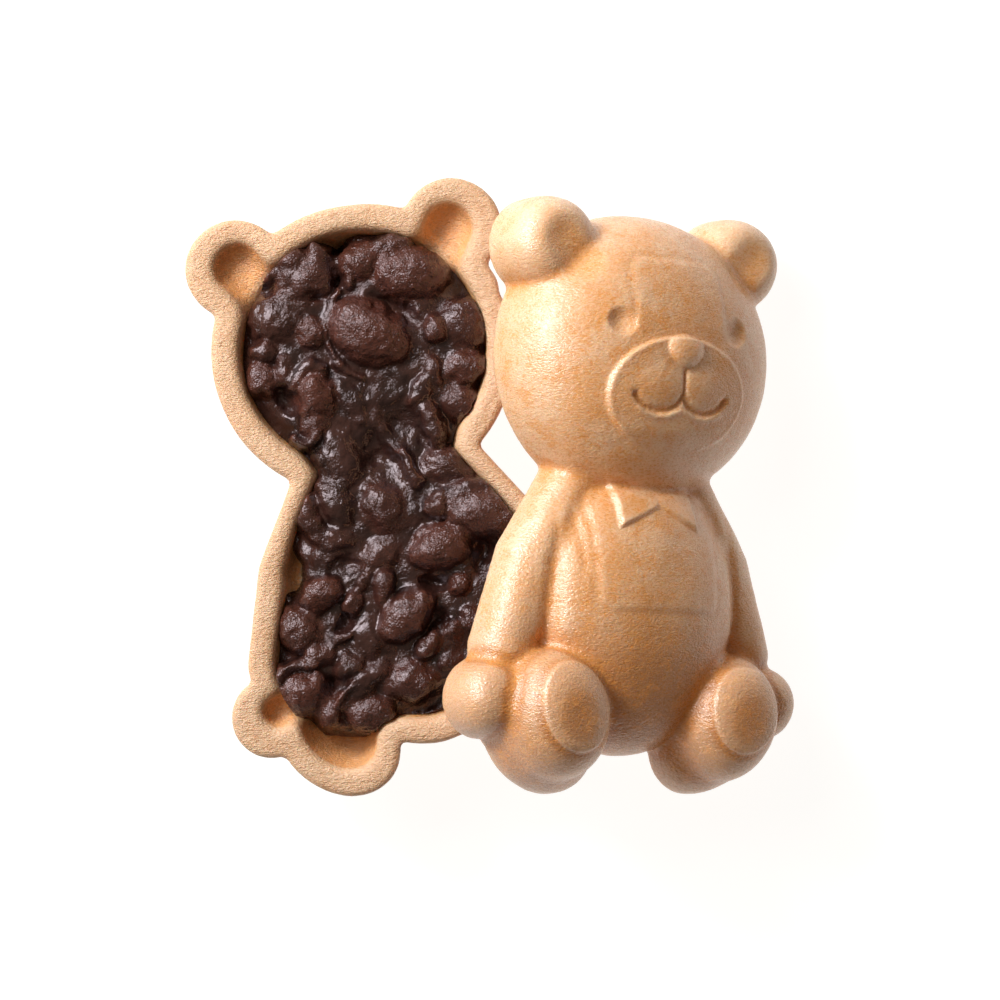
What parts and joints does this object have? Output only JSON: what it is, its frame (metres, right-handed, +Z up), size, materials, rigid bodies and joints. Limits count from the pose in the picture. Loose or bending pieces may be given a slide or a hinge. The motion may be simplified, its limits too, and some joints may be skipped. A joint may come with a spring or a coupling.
{
  "type": "opened monaka",
  "caption": "Opened bear-shaped wafer sweet: a wafer half filled with chunky bean paste, and the hollow bear-faced wafer half leaning on it.",
  "frame": {"origin": "centre of the part's footprint box, on the surface it lies on", "axes": "+Z up out of the surface towards the viewer, +Y towards the ears, +X towards the leaning bear-faced half"},
  "size_m": [0.0684, 0.0691, 0.0289],
  "materials": {
    "back_wafer": "dry baked rice wafer, fine grained, pale tan",
    "bean_paste": "moist dark bean paste, glossy, chunky",
    "front_wafer": "dry baked rice wafer, fine grained, pale tan"
  },
  "bodies": {
    "root": {"back_wafer": "back_wafer", "bean_paste": "bean_paste", "front_wafer": "front_wafer"}
  },
  "joints": []
}
